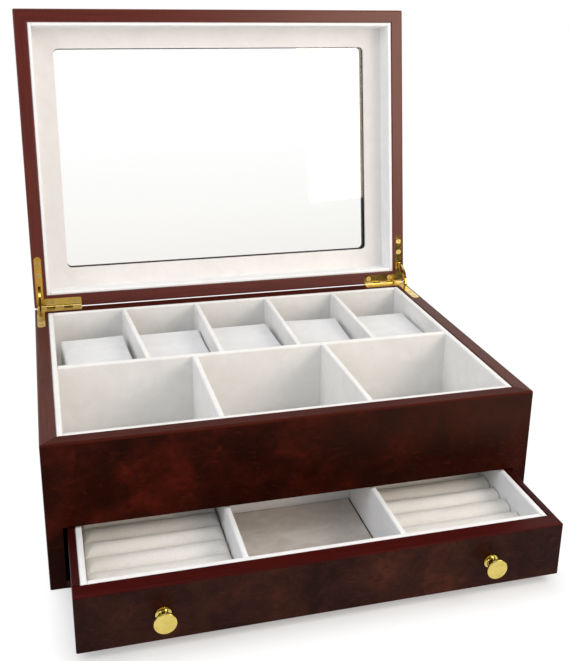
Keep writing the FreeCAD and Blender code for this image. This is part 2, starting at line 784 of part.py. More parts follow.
def knob(x):
    face_back = knob_projection - knob_face_thickness
    neck_end = knob_neck_start + knob_neck_length
    base_edge = Vector(knob_base_radius, -knob_base_thickness, 0)
    neck_low = Vector(knob_neck_radius, -knob_neck_start, 0)
    foot_curve = hollow_point(base_edge, neck_low)
    neck_high = Vector(knob_neck_radius, -neck_end, 0)
    face_edge = Vector(knob_face_radius, -face_back, 0)
    flare = hollow_point(face_edge, neck_high)
    rim_corner = Vector(knob_face_radius, -knob_projection, 0)
    rim_front = rim_corner + Vector(0, knob_rim_round, 0)
    face_start = rim_corner - Vector(knob_rim_round, 0, 0)
    turn_inset = knob_rim_round * (1 - math.sqrt(0.5))
    rim_turn = rim_corner + Vector(-turn_inset, turn_inset, 0)
    outline = [
        Part.makeLine(Vector(0, 0, 0), Vector(knob_base_radius, 0, 0)),
        Part.makeLine(Vector(knob_base_radius, 0, 0), base_edge),
        Part.Arc(base_edge, foot_curve, neck_low).toShape(),
        Part.makeLine(neck_low, neck_high),
        Part.Arc(neck_high, flare, face_edge).toShape(),
        Part.makeLine(face_edge, rim_front),
        Part.Arc(rim_front, rim_turn, face_start).toShape(),
        Part.makeLine(face_start, Vector(0, -knob_projection, 0)),
        Part.makeLine(Vector(0, -knob_projection, 0), Vector(0, 0, 0)),
    ]
    body = Part.Face(Part.Wire(outline)).revolve(Vector(0, 0, 0), Vector(0, 1, 0), 360)
    body.translate(Vector(x, front_y, knob_z))
    bore_start = Vector(x, front_y - knob_screw_bite, knob_z)
    return body.cut(rod(bore_start, knob_axis, knob_screw_radius, knob_screw_bite))


def knob_screw(x):
    shank_start = front_y - knob_screw_bite
    shank = rod(Vector(x, shank_start, knob_z), knob_axis, knob_screw_radius, counterbore_y - shank_start)
    head = rod(Vector(x, counterbore_y, knob_z), knob_axis, knob_screw_head_radius, knob_screw_head_height)
    return shank.fuse(head).removeSplitter()


for name, side in SIDES.items():
    save("drawer_knob_" + name, pulled_out(knob(side * knob_x)))
save("drawer_knob_screws", *[pulled_out(knob_screw(x)) for x in knob_places])
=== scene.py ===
import math

import bpy
from mathutils import Matrix, Vector, noise


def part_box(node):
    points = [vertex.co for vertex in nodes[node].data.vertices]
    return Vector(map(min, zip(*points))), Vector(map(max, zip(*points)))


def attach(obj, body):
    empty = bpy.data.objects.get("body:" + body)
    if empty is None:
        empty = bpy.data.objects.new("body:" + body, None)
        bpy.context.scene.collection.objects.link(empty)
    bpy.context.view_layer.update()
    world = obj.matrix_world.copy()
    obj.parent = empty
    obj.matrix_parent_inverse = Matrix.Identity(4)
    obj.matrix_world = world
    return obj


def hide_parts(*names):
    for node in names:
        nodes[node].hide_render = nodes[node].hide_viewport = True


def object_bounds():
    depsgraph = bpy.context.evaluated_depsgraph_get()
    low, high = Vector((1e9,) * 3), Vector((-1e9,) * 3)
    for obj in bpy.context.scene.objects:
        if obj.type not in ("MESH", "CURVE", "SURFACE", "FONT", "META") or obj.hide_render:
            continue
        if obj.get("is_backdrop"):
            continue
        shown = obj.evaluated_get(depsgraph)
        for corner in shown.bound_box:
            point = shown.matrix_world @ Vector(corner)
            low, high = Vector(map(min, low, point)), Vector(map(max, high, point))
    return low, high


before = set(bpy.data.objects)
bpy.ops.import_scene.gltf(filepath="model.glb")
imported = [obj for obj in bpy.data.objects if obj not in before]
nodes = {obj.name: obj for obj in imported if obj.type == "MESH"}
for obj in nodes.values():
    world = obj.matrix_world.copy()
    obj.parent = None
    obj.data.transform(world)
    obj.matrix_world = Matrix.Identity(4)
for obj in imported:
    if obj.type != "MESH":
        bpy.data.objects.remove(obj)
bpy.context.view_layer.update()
bpy.ops.object.select_all(action="DESELECT")


# Case of four mitred and glued boards, faced with burl veneer, stained dark red-brown and
# lacquered half glossy. That gives the eye cloudy red mottling on near-black brown with short
# lighter flecks. The rims are solid wood with a plain stain and straight grain.
def linear(code):
    """An sRGB hex colour as linear red, green, blue and alpha."""
    channels = [int(code[i:i + 2], 16) / 255 for i in (1, 3, 5)]
    return [c / 12.92 if c <= 0.04045 else ((c + 0.055) / 1.055) ** 2.4 for c in channels] + [1.0]


def add_node(tree, kind, settings=None, links=None):
    """Adds a shader node, sets its sockets, properties and ramp stops, and links what feeds it."""
    node = tree.nodes.new("ShaderNode" + kind)
    for key, value in (settings or {}).items():
        if key == "stops":
            ramp = node.color_ramp.elements
            while len(ramp) < len(value):
                ramp.new(0.5)
            for stop, (position, code) in zip(ramp, value):
                stop.position = position
                stop.color = linear(code)
        elif isinstance(key, int) or key in node.inputs:
            node.inputs[key].default_value = value
        else:
            setattr(node, key, value)
    for key, source in (links or {}).items():
        tree.links.new(source, node.inputs[key])
    return node


def start_material(name):
    """A new empty material and its node tree."""
    material = bpy.data.materials.new(name)
    material.use_nodes = True
    material.node_tree.nodes.clear()
    return material, material.node_tree


def finish_material(tree, surface, links):
    """Ends a material in one Principled surface with these settings and links."""
    shader = add_node(tree, "BsdfPrincipled", surface, links)
    add_node(tree, "OutputMaterial", links={"Surface": shader.outputs["BSDF"]})


def dress(names, material):
    """Gives CAD nodes a finish without touching their meshes."""
    for name in names:
        mesh = nodes[name].data
        mesh.materials.clear()
        mesh.materials.append(material)


CLOUD_MM = 34.0
CURL_MM = 9.0
CURL_SHARE = 0.35
FLECK_MM = (14.0, 3.0)
FLECK_SHARE = 0.3
PORE_MM = 0.9
PORE_DEPTH = 0.00005
RIM_GRAIN_MM = (60.0, 1.6)
LACQUER_ROUGHNESS = (0.3, 0.4)
RIM_COAT_ROUGHNESS = 0.34
# Reach across and up, and share, of the painted reflection on the case front's upper right.
PAINTED_SHEEN_FROM_LEFT = (-0.03, 0.13)
PAINTED_SHEEN_FROM_BELOW = (0.058, 0.082)
PAINTED_SHEEN_SHARE = 0.75
CUT_EDGE_REACH = 0.0002
CUT_EDGE_BLACK = "#0c0504"
CUT_EDGE_ROUGHNESS = 0.9


def lacquered_veneer(
    name, stains, rim_stains, rim_heights, grain, shine,
    lid_turn=None, window=None, painted_sheen_colour=None, coated_rim=False,
):
    """Burl veneer on the faces and straight-grained solid wood where the board's rim begins.

    The stains run from the darkest cloud to the lightest, and the fifth is the flecks'.
    The heights are where the face ends and where the rim is complete, the grain is the board's
    long axis and the shine is the lacquer's. A coated_rim has a second coat that the face lacks.
    A lid_turn lays the pattern out in the closed lid. A window's cut edge, which lies inside its
    half sizes, is painted a dull black. Given a painted sheen colour, a leaf turns to it towards
    its
    upper right corner: a painted reflection, the lacquer's haze of light there painted into the
    colour.
    """
    material, tree = start_material(name)
    place = add_node(tree, "TexCoord").outputs["Object"]
    if lid_turn:
        place = add_node(
            tree, "Mapping", {"Location": lid_turn[0], "Rotation": lid_turn[1]}, {"Vector": place}
        ).outputs["Vector"]
    cloud = add_node(
        tree, "TexNoise",
        {"Scale": 1000 / CLOUD_MM, "Detail": 2.0, "Roughness": 0.5, "Distortion": 0.5},
        {"Vector": place},
    ).outputs["Fac"]
    curl = add_node(
        tree, "TexNoise",
        {"Scale": 1000 / CURL_MM, "Detail": 4.0, "Roughness": 0.6, "Distortion": 1.5},
        {"Vector": place},
    ).outputs["Fac"]
    figure = add_node(
        tree, "Mix", {"data_type": "FLOAT", 0: CURL_SHARE}, {2: cloud, 3: curl}
    ).outputs[0]
    burl = add_node(
        tree, "ValToRGB",
        {"stops": list(zip((0.38, 0.48, 0.57, 0.68), stains))},
        {"Fac": figure},
    ).outputs["Color"]
    stretch = [1000 / FLECK_MM[1]] * 3
    stretch["XY".index(grain)] = 1000 / FLECK_MM[0]
    lie = add_node(tree, "Mapping", {"Scale": stretch}, {"Vector": place}).outputs["Vector"]
    fleck = add_node(
        tree, "TexNoise", {"Scale": 1.0, "Detail": 3.0, "Roughness": 0.7, "Distortion": 1.8},
        {"Vector": lie},
    ).outputs["Fac"]
    flecked = add_node(
        tree, "MapRange",
        {"From Min": 0.58, "From Max": 0.72, "To Min": 0.0, "To Max": FLECK_SHARE},
        {"Value": fleck},
    ).outputs["Result"]
    burl = add_node(
        tree, "Mix", {"data_type": "RGBA", 7: linear(stains[4])}, {0: flecked, 6: burl}
    ).outputs[2]
    # Painted reflection: the colour turns browner towards the upper right, standing in for a haze
    # of the lacquer's sheen.
    if painted_sheen_colour:
        spot = add_node(tree, "SeparateXYZ", links={"Vector": place}).outputs
        rightward = add_node(
            tree, "MapRange",
            {
                "From Min": PAINTED_SHEEN_FROM_LEFT[0], "From Max": PAINTED_SHEEN_FROM_LEFT[1],
                "To Min": 0.0, "To Max": PAINTED_SHEEN_SHARE, "clamp": True,
            },
            {"Value": spot["X"]},
        ).outputs["Result"]
        upward = add_node(
            tree, "MapRange",
            {"From Min": PAINTED_SHEEN_FROM_BELOW[0], "From Max": PAINTED_SHEEN_FROM_BELOW[1], "clamp": True},
            {"Value": spot["Z"]},
        ).outputs["Result"]
        brown = add_node(
            tree, "Math", {"operation": "MULTIPLY"}, {0: rightward, 1: upward}
        ).outputs[0]
        burl = add_node(
            tree, "Mix", {"data_type": "RGBA", 7: linear(painted_sheen_colour)}, {0: brown, 6: burl}
        ).outputs[2]
    stretch = [1000 / RIM_GRAIN_MM[1]] * 3
    stretch["XY".index(grain)] = 1000 / RIM_GRAIN_MM[0]
    along = add_node(tree, "Mapping", {"Scale": stretch}, {"Vector": place}).outputs["Vector"]
    straight = add_node(
        tree, "TexNoise", {"Scale": 1.0, "Detail": 4.0, "Roughness": 0.6}, {"Vector": along}
    ).outputs["Fac"]
    plain = add_node(
        tree, "ValToRGB", {"stops": list(zip((0.35, 0.68), rim_stains))}, {"Fac": straight}
    ).outputs["Color"]
    height = add_node(tree, "SeparateXYZ", links={"Vector": place}).outputs["Z"]
    on_rim = add_node(
        tree, "MapRange",
        {"From Min": rim_heights[0], "From Max": rim_heights[1], "clamp": True},
        {"Value": height},
    ).outputs["Result"]
    colour = add_node(
        tree, "Mix", {"data_type": "RGBA"}, {0: on_rim, 6: burl, 7: plain}
    ).outputs[2]
    pores = add_node(
        tree, "TexNoise",
        {"Scale": 1000 / PORE_MM, "Detail": 2.0, "Roughness": 0.5}, {"Vector": place},
    ).outputs["Fac"]
    gloss = add_node(
        tree, "MapRange",
        {
            "From Min": 0.3, "From Max": 0.7,
            "To Min": LACQUER_ROUGHNESS[0], "To Max": LACQUER_ROUGHNESS[1],
        },
        {"Value": curl},
    ).outputs["Result"]
    if window:
        reach = add_node(
            tree, "VectorMath", {"operation": "ABSOLUTE"}, {0: place}
        ).outputs["Vector"]
        beyond = add_node(
            tree, "VectorMath", {"operation": "SUBTRACT", 1: (*window, 1.0)}, {0: reach}
        ).outputs["Vector"]
        across = add_node(tree, "SeparateXYZ", links={"Vector": beyond}).outputs
        furthest = add_node(
            tree, "Math", {"operation": "MAXIMUM"}, {0: across["X"], 1: across["Y"]}
        ).outputs[0]
        cut_edge = add_node(
            tree, "Math", {"operation": "LESS_THAN", 1: CUT_EDGE_REACH}, {0: furthest}
        ).outputs[0]
        colour = add_node(
            tree, "Mix", {"data_type": "RGBA", 7: linear(CUT_EDGE_BLACK)}, {0: cut_edge, 6: colour}
        ).outputs[2]
        gloss = add_node(
            tree, "Mix", {"data_type": "FLOAT", 3: CUT_EDGE_ROUGHNESS}, {0: cut_edge, 2: gloss}
        ).outputs[0]
    bump = add_node(
        tree, "Bump", {"Strength": 0.12, "Distance": PORE_DEPTH}, {"Height": pores}
    ).outputs["Normal"]
    surface = {"Specular IOR Level": shine}
    links = {"Base Color": colour, "Roughness": gloss, "Normal": bump}
    if coated_rim:
        surface["Coat Roughness"] = RIM_COAT_ROUGHNESS
        links["Coat Weight"] = on_rim
    finish_material(tree, surface, links)
    return material


CASE_STAINS = ("#1e0501", "#260802", "#330c04", "#471408", "#64260f")
CASE_RIM = (0.0971, 0.0981)
dress(
    ["case_front", "case_back"],
    lacquered_veneer(
        "burl_veneer_case_front", CASE_STAINS, ("#3a120a", "#491b11"), CASE_RIM, "X", 0.04,
        # Painted reflection: a browner haze of sheen painted into the front's upper right.
        painted_sheen_colour="#341d15",
    ),
)
dress(
    ["case_left", "case_right"],
    lacquered_veneer(
        "burl_veneer_case_sides", CASE_STAINS, ("#44190f", "#532418"), CASE_RIM, "Y", 0.12
    ),
)


# Plain boards that hardly show: the case base, and the drawer's sides, back and bottom.
# Thin stained wood, straight-grained and sealed with a dull lacquer.
BOARD_GRAIN_MM = (90.0, 1.8)


def stained_board(name, stains, grain):
    """Straight grain lines along one axis, felt as a slight relief."""
    material, tree = start_material(name)
    place = add_node(tree, "TexCoord").outputs["Object"]
    stretch = [1000 / BOARD_GRAIN_MM[1]] * 3
    stretch["XY".index(grain)] = 1000 / BOARD_GRAIN_MM[0]
    along = add_node(tree, "Mapping", {"Scale": stretch}, {"Vector": place}).outputs["Vector"]
    grain_lines = add_node(
        tree, "TexNoise",
        {"Scale": 1.0, "Detail": 5.0, "Roughness": 0.6, "Distortion": 0.4}, {"Vector": along},
    ).outputs["Fac"]
    colour = add_node(
        tree, "ValToRGB", {"stops": list(zip((0.35, 0.68), stains))}, {"Fac": grain_lines}
    ).outputs["Color"]
    bump = add_node(
        tree, "Bump", {"Strength": 0.2, "Distance": 0.0001}, {"Height": grain_lines}
    ).outputs["Normal"]
    finish_material(
        tree,
        {"Roughness": 0.48, "Specular IOR Level": 0.1},
        {"Base Color": colour, "Normal": bump},
    )
    return material


dress(["case_base_board"], stained_board("stained_wood_base", ("#2a0e09", "#43190f"), "X"))
dress(
    ["drawer_side_left", "drawer_side_right"],
    stained_board("stained_wood_drawer_sides", ("#2c0605", "#3c0b08"), "Y"),
)
dress(
    ["drawer_back", "drawer_bottom"],
    stained_board("stained_wood_drawer_inside", ("#3a1710", "#552417"), "X"),
)


# Tray lining: boards wrapped in napped suede cloth and glued in, with a mid wall and dividers.
# Suede has no gloss: its short nap gives a soft, slightly mottled surface, brighter at its edges.
NAP_MM = 0.55
STROKE_MM = 16.0


def napped_suede(name, shades, nap_height=0.00012, stretch=(1.0, 1.0, 1.0)):
    """Brushed nap: fine fibre speckle over wide strokes where the pile lies another way."""
    material, tree = start_material(name)
    place = add_node(tree, "TexCoord").outputs["Object"]
    lay = add_node(tree, "Mapping", {"Scale": stretch}, {"Vector": place}).outputs["Vector"]
    fibres = add_node(
        tree, "TexNoise",
        {"Scale": 1000 / NAP_MM, "Detail": 3.0, "Roughness": 0.7}, {"Vector": lay},
    ).outputs["Fac"]
    strokes = add_node(
        tree, "TexNoise",
        {"Scale": 1000 / STROKE_MM, "Detail": 4.0, "Roughness": 0.6, "Distortion": 0.8},
        {"Vector": lay},
    ).outputs["Fac"]
    shade = add_node(
        tree, "Mix", {"data_type": "FLOAT", 0: 0.5}, {2: fibres, 3: strokes}
    ).outputs[0]
    colour = add_node(
        tree, "ValToRGB", {"stops": list(zip((0.32, 0.68), shades))}, {"Fac": shade}
    ).outputs["Color"]
    bump = add_node(
        tree, "Bump", {"Strength": 0.35, "Distance": nap_height}, {"Height": fibres}
    ).outputs["Normal"]
    finish_material(
        tree,
        {
            "Roughness": 0.95, "Specular IOR Level": 0.1,
            "Sheen Weight": 0.2, "Sheen Roughness": 0.55, "Sheen Tint": linear("#f4f2ee"),
        },
        {"Base Color": colour, "Normal": bump},
    )
    return material


dress(
    ["tray_floor", "tray_mid_wall"]
    + ["tray_lining_" + side for side in ("front", "back", "left", "right")]
    + ["watch_divider_%d" % i for i in range(1, 5)]
    + ["front_divider_1", "front_divider_2"],
    napped_suede("napped_suede_boards", ("#dcdbd9", "#ebeae8")),
)


# Watch pillows: foam blocks in suede that lift out, five alike in the rear bays, some askew.
# The cover is sewn tight over the foam, so the top swells a little and the sides draw in.
SWELL_FRAMES = 20


def soft_block(name, low, high, top_round, edge_round):
    """A block with its long top edges rounded by top_round, and then every edge by edge_round."""
    bpy.ops.object.select_all(action="DESELECT")
    bpy.ops.mesh.primitive_cube_add(size=1, location=(low + high) / 2, scale=high - low)
    block = bpy.context.object
    block.name = name
    bpy.ops.object.transform_apply(location=True, rotation=True, scale=True)
    if top_round:
        bpy.ops.object.mode_set(mode="EDIT")
        bpy.ops.mesh.select_all(action="DESELECT")
        bpy.ops.object.mode_set(mode="OBJECT")
        for edge in block.data.edges:
            start, end = [block.data.vertices[i].co for i in edge.vertices]
            along_x = abs(start.x - end.x) > abs(start.y - end.y)
            edge.select = along_x and min(start.z, end.z) > high.z - 1e-5
        bpy.ops.object.mode_set(mode="EDIT")
        bpy.ops.mesh.select_mode(type="EDGE")
        bpy.ops.mesh.bevel(offset=top_round, segments=10, affect="EDGES")
        bpy.ops.object.mode_set(mode="OBJECT")
    soften = block.modifiers.new("edges", "BEVEL")
    soften.width, soften.segments = edge_round, 4
    soften.limit_method, soften.angle_limit = "ANGLE", math.radians(40)
    bpy.ops.object.modifier_apply(modifier=soften.name)
    return block


def puff(block, voxel, pressure, cap, held):
    """Inflates a block as cloth: the vertices for which held() is true stay where they are."""
    remesh = block.modifiers.new("voxels", "REMESH")
    remesh.mode, remesh.voxel_size = "VOXEL", voxel
    bpy.ops.object.modifier_apply(modifier=remesh.name)
    rest = [v.co.copy() for v in block.data.vertices]
    seams = block.vertex_groups.new(name="seams")
    seams.add([v.index for v in block.data.vertices if held(v.co)], 1.0, "REPLACE")
    cloth = block.modifiers.new("cover", "CLOTH")
    cover = cloth.settings
    cover.quality, cover.mass = 5, 0.001
    cover.tension_stiffness = cover.compression_stiffness = 15
    cover.use_pressure, cover.uniform_pressure_force = True, pressure
    cover.vertex_group_mass = seams.name
    cover.effector_weights.gravity = 0
    cloth.collision_settings.use_collision = False
    for step in range(1, SWELL_FRAMES + 1):
        bpy.context.scene.frame_set(step)
    bpy.ops.object.modifier_apply(modifier=cloth.name)
    bpy.context.scene.frame_set(1)
    for vertex, start in zip(block.data.vertices, rest):
        move = vertex.co - start
        if move.length > cap:
            vertex.co = start + move * (cap / move.length)
    smooth = block.modifiers.new("smooth", "SUBSURF")
    smooth.levels = smooth.render_levels = 1
    bpy.ops.object.modifier_apply(modifier=smooth.name)
    bpy.ops.object.shade_smooth()


def copy_to(block, name, placing):
    """A copy with its own mesh, placed in its mesh, so that the object stays at the origin."""
    copy = bpy.data.objects.new(name, block.data.copy())
    bpy.context.scene.collection.objects.link(copy)
    copy.data.transform(placing)
    return copy


def dent(piece, size, depth):
    """Small soft dents and swellings, the same each run, as foam shows through cloth."""
    outward = [vertex.normal.copy() for vertex in piece.data.vertices]
    for vertex, normal in zip(piece.data.vertices, outward):
        vertex.co += normal * depth * noise.noise(vertex.co / size)


PILLOW_SIZE = Vector((0.0489, 0.05, 0.0361))
PILLOW_SEAT = 0.0493
PILLOW_SEAM = 0.0022
PILLOW_WAIST = 0.0004
PILLOW_EDGE_ROUND = 0.0012
PILLOW_TOP_SKIN = 0.001
PILLOW_PLACES = (  # middle x, middle y and turn in degrees
    (-0.11562, 0.0545, 3.0), (-0.05676, 0.0538, 0.5), (-0.0002, 0.055, 0.8),
    (0.05816, 0.056, -3.2), (0.11872, 0.0537, 0.5),
)
pillow_suede = napped_suede("napped_suede_pillows", ("#d3d4d5", "#e6e6e7"), 0.0001)
pillow_half = PILLOW_SIZE / 2


def pillow_seam(point):
    """True on the sides and at the seam round the top, where the cover is sewn tight."""
    near_x = abs(point.x) > pillow_half.x - PILLOW_SEAM
    near_y = abs(point.y) > pillow_half.y - PILLOW_SEAM
    return near_x or near_y or point.z < PILLOW_SIZE.z - PILLOW_TOP_SKIN


first_pillow = soft_block(
    "pillow_pattern", Vector((-pillow_half.x, -pillow_half.y, 0)),
    Vector((pillow_half.x, pillow_half.y, PILLOW_SIZE.z)), 0, PILLOW_EDGE_ROUND,
)
puff(first_pillow, voxel=0.0014, pressure=40, cap=0.0009, held=pillow_seam)
for vertex in first_pillow.data.vertices:
    across = vertex.co.x / pillow_half.x, vertex.co.y / pillow_half.y
    vertex.co.x -= PILLOW_WAIST * (1 - across[1] ** 2) * across[0]
    vertex.co.y -= PILLOW_WAIST * (1 - across[0] ** 2) * across[1]
for i, (middle_x, middle_y, turn) in enumerate(PILLOW_PLACES, 1):
    turned = Matrix.Rotation(math.radians(turn), 4, "Z")
    placing = Matrix.Translation((middle_x, middle_y, PILLOW_SEAT)) @ turned
    pillow = copy_to(first_pillow, "watch_pillow_foam_%d" % i, placing)
    dent(pillow, size=0.009, depth=0.00012)
    pillow.data.materials.append(pillow_suede)
    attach(pillow, "pillow_%d" % i)
    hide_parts("watch_pillow_%d" % i)
bpy.data.objects.remove(first_pillow)


# Quadrant hinges with their pins, stays and screws, of brass under a clear lacquer. The lid leaves
# and stays are polished and show sharp dark reflections. The case leaves and pins are as rolled,
# with a duller shine, and their paler yellow is painted light, a lighter copy of the lid leaves'
# brass.
# The screws are turned, with a satin shine.
TARNISH_MM = 5.0
ROLLING_MM = 0.8
LATHE_MM = 0.5
WAVE_RING = 0.314  # metres between two rings of a wave texture at scale 1


def polished_brass(name, shades, roughness, lathe_centre=None):
    """Lacquered brass; a turned piece gets its fine lathe rings round lathe_centre along Y."""
    material, tree = start_material(name)
    place = add_node(tree, "TexCoord").outputs["Object"]
    haze = add_node(
        tree, "TexNoise",
        {"Scale": 1000 / TARNISH_MM, "Detail": 4.0, "Roughness": 0.6}, {"Vector": place},
    ).outputs["Fac"]
    colour = add_node(
        tree, "ValToRGB", {"stops": list(zip((0.35, 0.65), shades))}, {"Fac": haze}
    ).outputs["Color"]
    rub = add_node(
        tree, "MapRange",
        {"From Min": 0.3, "From Max": 0.7, "To Min": roughness[0], "To Max": roughness[1]},
        {"Value": haze},
    ).outputs["Result"]
    relief = add_node(
        tree, "TexNoise", {"Scale": 1000 / ROLLING_MM, "Detail": 2.0}, {"Vector": place}
    ).outputs["Fac"]
    if lathe_centre:
        centred = add_node(
            tree, "Mapping", {"Location": [-c for c in lathe_centre]}, {"Vector": place}
        ).outputs["Vector"]
        relief = add_node(
            tree, "TexWave",
            {
                "wave_type": "RINGS", "rings_direction": "Y",
                "Scale": WAVE_RING * 1000 / LATHE_MM, "Distortion": 0.2, "Detail": 1.0,
            },
            {"Vector": centred},
        ).outputs["Fac"]
    bump = add_node(
        tree, "Bump", {"Strength": 0.15, "Distance": 0.00002}, {"Height": relief}
    ).outputs["Normal"]
    finish_material(
        tree, {"Metallic": 1.0, "Coat Weight": 0.6, "Coat Roughness": 0.12},
        {"Base Color": colour, "Roughness": rub, "Normal": bump},
    )
    return material


dress(
    ["hinge_lid_leaf_left", "hinge_lid_leaf_right", "hinge_stay_left", "hinge_stay_right"],
    polished_brass("polished_brass_lid_leaves", ("#d9ba55", "#e9cd69"), (0.08, 0.17)),
)
dress(
    ["hinge_case_leaf_left", "hinge_case_leaf_right", "hinge_pins"],
    # Painted light: a paler brass than the lid leaves', to keep the case leaves bright from every
    # side.
    polished_brass("rolled_brass_case_leaves", ("#f4d67e", "#fce79e"), (0.4, 0.52)),
)
dress(
    ["hinge_screws_case", "hinge_screws_lid"],
    polished_brass("turned_brass_screws", ("#dcc272", "#ecd894"), (0.32, 0.42)),
)


# Lid: four mitred rails and the top board with its window, veneered and stained as the case is.
# It is shown open, so its patterns are laid out in the closed lid and turned back by the open
# angle. The rims of the rails have a second coat of lacquer, which shows as a haze of light.
LID_OPEN = math.radians(98.9)
HINGE = Vector((0, 0.117, 0.09915))
back_turn = Matrix.Rotation(LID_OPEN, 3, "X")
closed_lid = (HINGE - back_turn @ HINGE, (LID_OPEN, 0, 0))
LID_RIM = (0.1004, 0.0997)
NO_RIM = (0.0002, 0.0001)  # heights far below the closed lid's top board
LID_STAINS = ("#230904", "#360f07", "#4d160a", "#6a2411", "#7c3618")
LID_SHINE = 0.1
WINDOW_HALF = (0.1305, 0.0884)
for place_in_lid, grain, sides in (
    ("long", "X", ("front", "back")), ("side", "Y", ("left", "right")),
):
    dress(
        ["lid_rail_" + side for side in sides],
        lacquered_veneer(
            "burl_veneer_lid_%s_rails" % place_in_lid, LID_STAINS, ("#51140d", "#631d13"),
            LID_RIM, grain, LID_SHINE, closed_lid, coated_rim=True,
        ),
    )
dress(
    ["lid_top_board"],
    lacquered_veneer(
        "burl_veneer_lid_top", LID_STAINS, ("#34110b", "#4d170d"), NO_RIM, "X", LID_SHINE,
        closed_lid, WINDOW_HALF,
    ),
)


# Window: a sheet of clear float glass held by the mat, almost colourless and a little greyer low
# down. A breath of haze lies where it has been wiped.
WIPE_MM = 60.0
GREY_TO_CLEAR = (0.12, 0.22)


def float_glass(name):
    """Clear glass with faint wiped patches, turning from slightly grey to clear with height."""
    material, tree = start_material(name)
    place = add_node(tree, "TexCoord").outputs["Object"]
    wipe = add_node(
        tree, "TexNoise",
        {"Scale": 1000 / WIPE_MM, "Detail": 3.0, "Distortion": 1.5}, {"Vector": place},
    ).outputs["Fac"]
    haze = add_node(
        tree, "MapRange",
        {"From Min": 0.45, "From Max": 0.75, "To Min": 0.0, "To Max": 0.06}, {"Value": wipe},
    ).outputs["Result"]
    height = add_node(tree, "SeparateXYZ", links={"Vector": place}).outputs["Z"]
    upward = add_node(
        tree, "MapRange",
        {"From Min": GREY_TO_CLEAR[0], "From Max": GREY_TO_CLEAR[1], "clamp": True},
        {"Value": height},
    ).outputs["Result"]
    tint = add_node(
        tree, "ValToRGB", {"stops": [(0.0, "#f0efec"), (0.5, "#f8f8f6"), (1.0, "#fefefe")]},
        {"Fac": upward},
    ).outputs["Color"]
    finish_material(
        tree, {"Transmission Weight": 1.0, "IOR": 1.5}, {"Base Color": tint, "Roughness": haze}
    )
    return material


dress(["lid_glass"], float_glass("clear_float_glass"))


# Mat round the window and the lid's four lining boards: card covered with the same suede cloth.
# The mat lies flat and is a little warmer, because its cloth is stretched and its nap is short.
dress(["lid_mat"], napped_suede("napped_suede_mat", ("#e4e1df", "#eeecea"), 0.00008))
dress(
    ["lid_lining_" + side for side in ("front", "back", "left", "right")],
    napped_suede("napped_suede_lid_linings", ("#ebebec", "#f4f4f4"), 0.0001),
)


# Drawer front: a board glued to the drawer's sides, with the same burl veneer and lacquer.
# It is browner than the case and has a deep red solid rim.
DRAWER_STAINS = ("#1f0b06", "#29110b", "#33170e", "#432015", "#562f1e")
DRAWER_RIM = (0.0403, 0.0412)
dress(
    ["drawer_front"],
    lacquered_veneer(
        "burl_veneer_drawer_front", DRAWER_STAINS, ("#340604", "#440c07"), DRAWER_RIM, "X", 0.06
    ),
)


# Drawer lining, cross wall and dividers: boards wrapped in the tray's suede cloth. Here it is
# painted a little whiter than the tray's: painted light, brightening the walls in the drawer's
# shade.
dress(
    ["drawer_lining_" + side for side in ("front", "back", "left", "right")]
    + ["drawer_cross_wall", "drawer_divider_left", "drawer_divider_right"],
    napped_suede("napped_suede_drawer_boards", ("#e2e2e3", "#f0f0f0")),
)


# Floor pads of the drawer's middle and rear bays: thin card under brushed suede, glued down.
# The nap is long here and lies in patches, so the floor is more mottled than the walls. Its greyer,
# darker colour than the walls' cloth is painted shade.
PAD_ROUND = 0.0004
PAD_GAP = 0.0003
PAD_GAP_RIGHT = 0.0009
PAD_VOXEL = 0.0009
PAD_SKIN = 0.0004
PAD_SAG = 0.0002
PAD_PATCH = 0.018
pad_suede = napped_suede(
    "brushed_suede_floor_pads", ("#c3b8ae", "#e2ddd8"), 0.0002, (1.0, 1.6, 1.0)
)
pad_low, pad_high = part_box("drawer_floor_pads")
middle_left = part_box("drawer_divider_left")[1].x + PAD_GAP
middle_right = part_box("drawer_divider_right")[0].x - PAD_GAP_RIGHT
cross_low, cross_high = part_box("drawer_cross_wall")
pads = {
    "middle": ((middle_left, pad_low.y), (middle_right, cross_low.y - PAD_GAP)),
    "rear": ((pad_low.x, cross_high.y + PAD_GAP), (pad_high.x, pad_high.y)),
}
for where, (corner, far_corner) in pads.items():
    low, high = Vector((*corner, pad_low.z)), Vector((*far_corner, pad_high.z))
    bpy.ops.object.select_all(action="DESELECT")
    bpy.ops.mesh.primitive_cube_add(size=1, location=(low + high) / 2, scale=high - low)
    pad = bpy.context.object
    pad.name = "drawer_floor_pad_" + where
    bpy.ops.object.transform_apply(location=True, rotation=True, scale=True)
    bpy.ops.object.mode_set(mode="EDIT")
    bpy.ops.mesh.select_all(action="SELECT")
    bpy.ops.mesh.bevel(offset=PAD_ROUND, segments=3, affect="EDGES")
    bpy.ops.object.mode_set(mode="OBJECT")
    remesh = pad.modifiers.new("voxels", "REMESH")
    remesh.mode, remesh.voxel_size = "VOXEL", PAD_VOXEL
    bpy.ops.object.modifier_apply(modifier=remesh.name)
    for vertex in pad.data.vertices:
        if vertex.co.z > pad_high.z - PAD_SKIN:
            vertex.co.z -= PAD_SAG * (0.5 + 0.5 * noise.noise(vertex.co / PAD_PATCH))
    bpy.ops.object.shade_smooth()
    pad.data.materials.append(pad_suede)
    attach(pad, "drawer")
    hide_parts("drawer_floor_pads")


# Ring rolls: six stuffed rolls of suede side by side in each outer bay, pressed together.
# Each is a foam strip in its own sleeve of cloth, so the tops are round with thin grooves between.
ROLL_COUNT = 6
ROLL_TOP_ROUND = 0.0071
ROLL_END_ROUND = 0.0009
ROLL_GAP = 0.0001
ROLL_SWELL = 0.0003
ROLL_FOOT = 0.009
roll_suede = napped_suede(
    "brushed_suede_rolls", ("#dedad3", "#f1efeb"), 0.00022, (0.35, 1.0, 1.0)
)


def roll_foot(point):
    """True low in a roll, where it is glued down and pressed against its neighbours."""
    return point.z < rolls_low.z + ROLL_FOOT


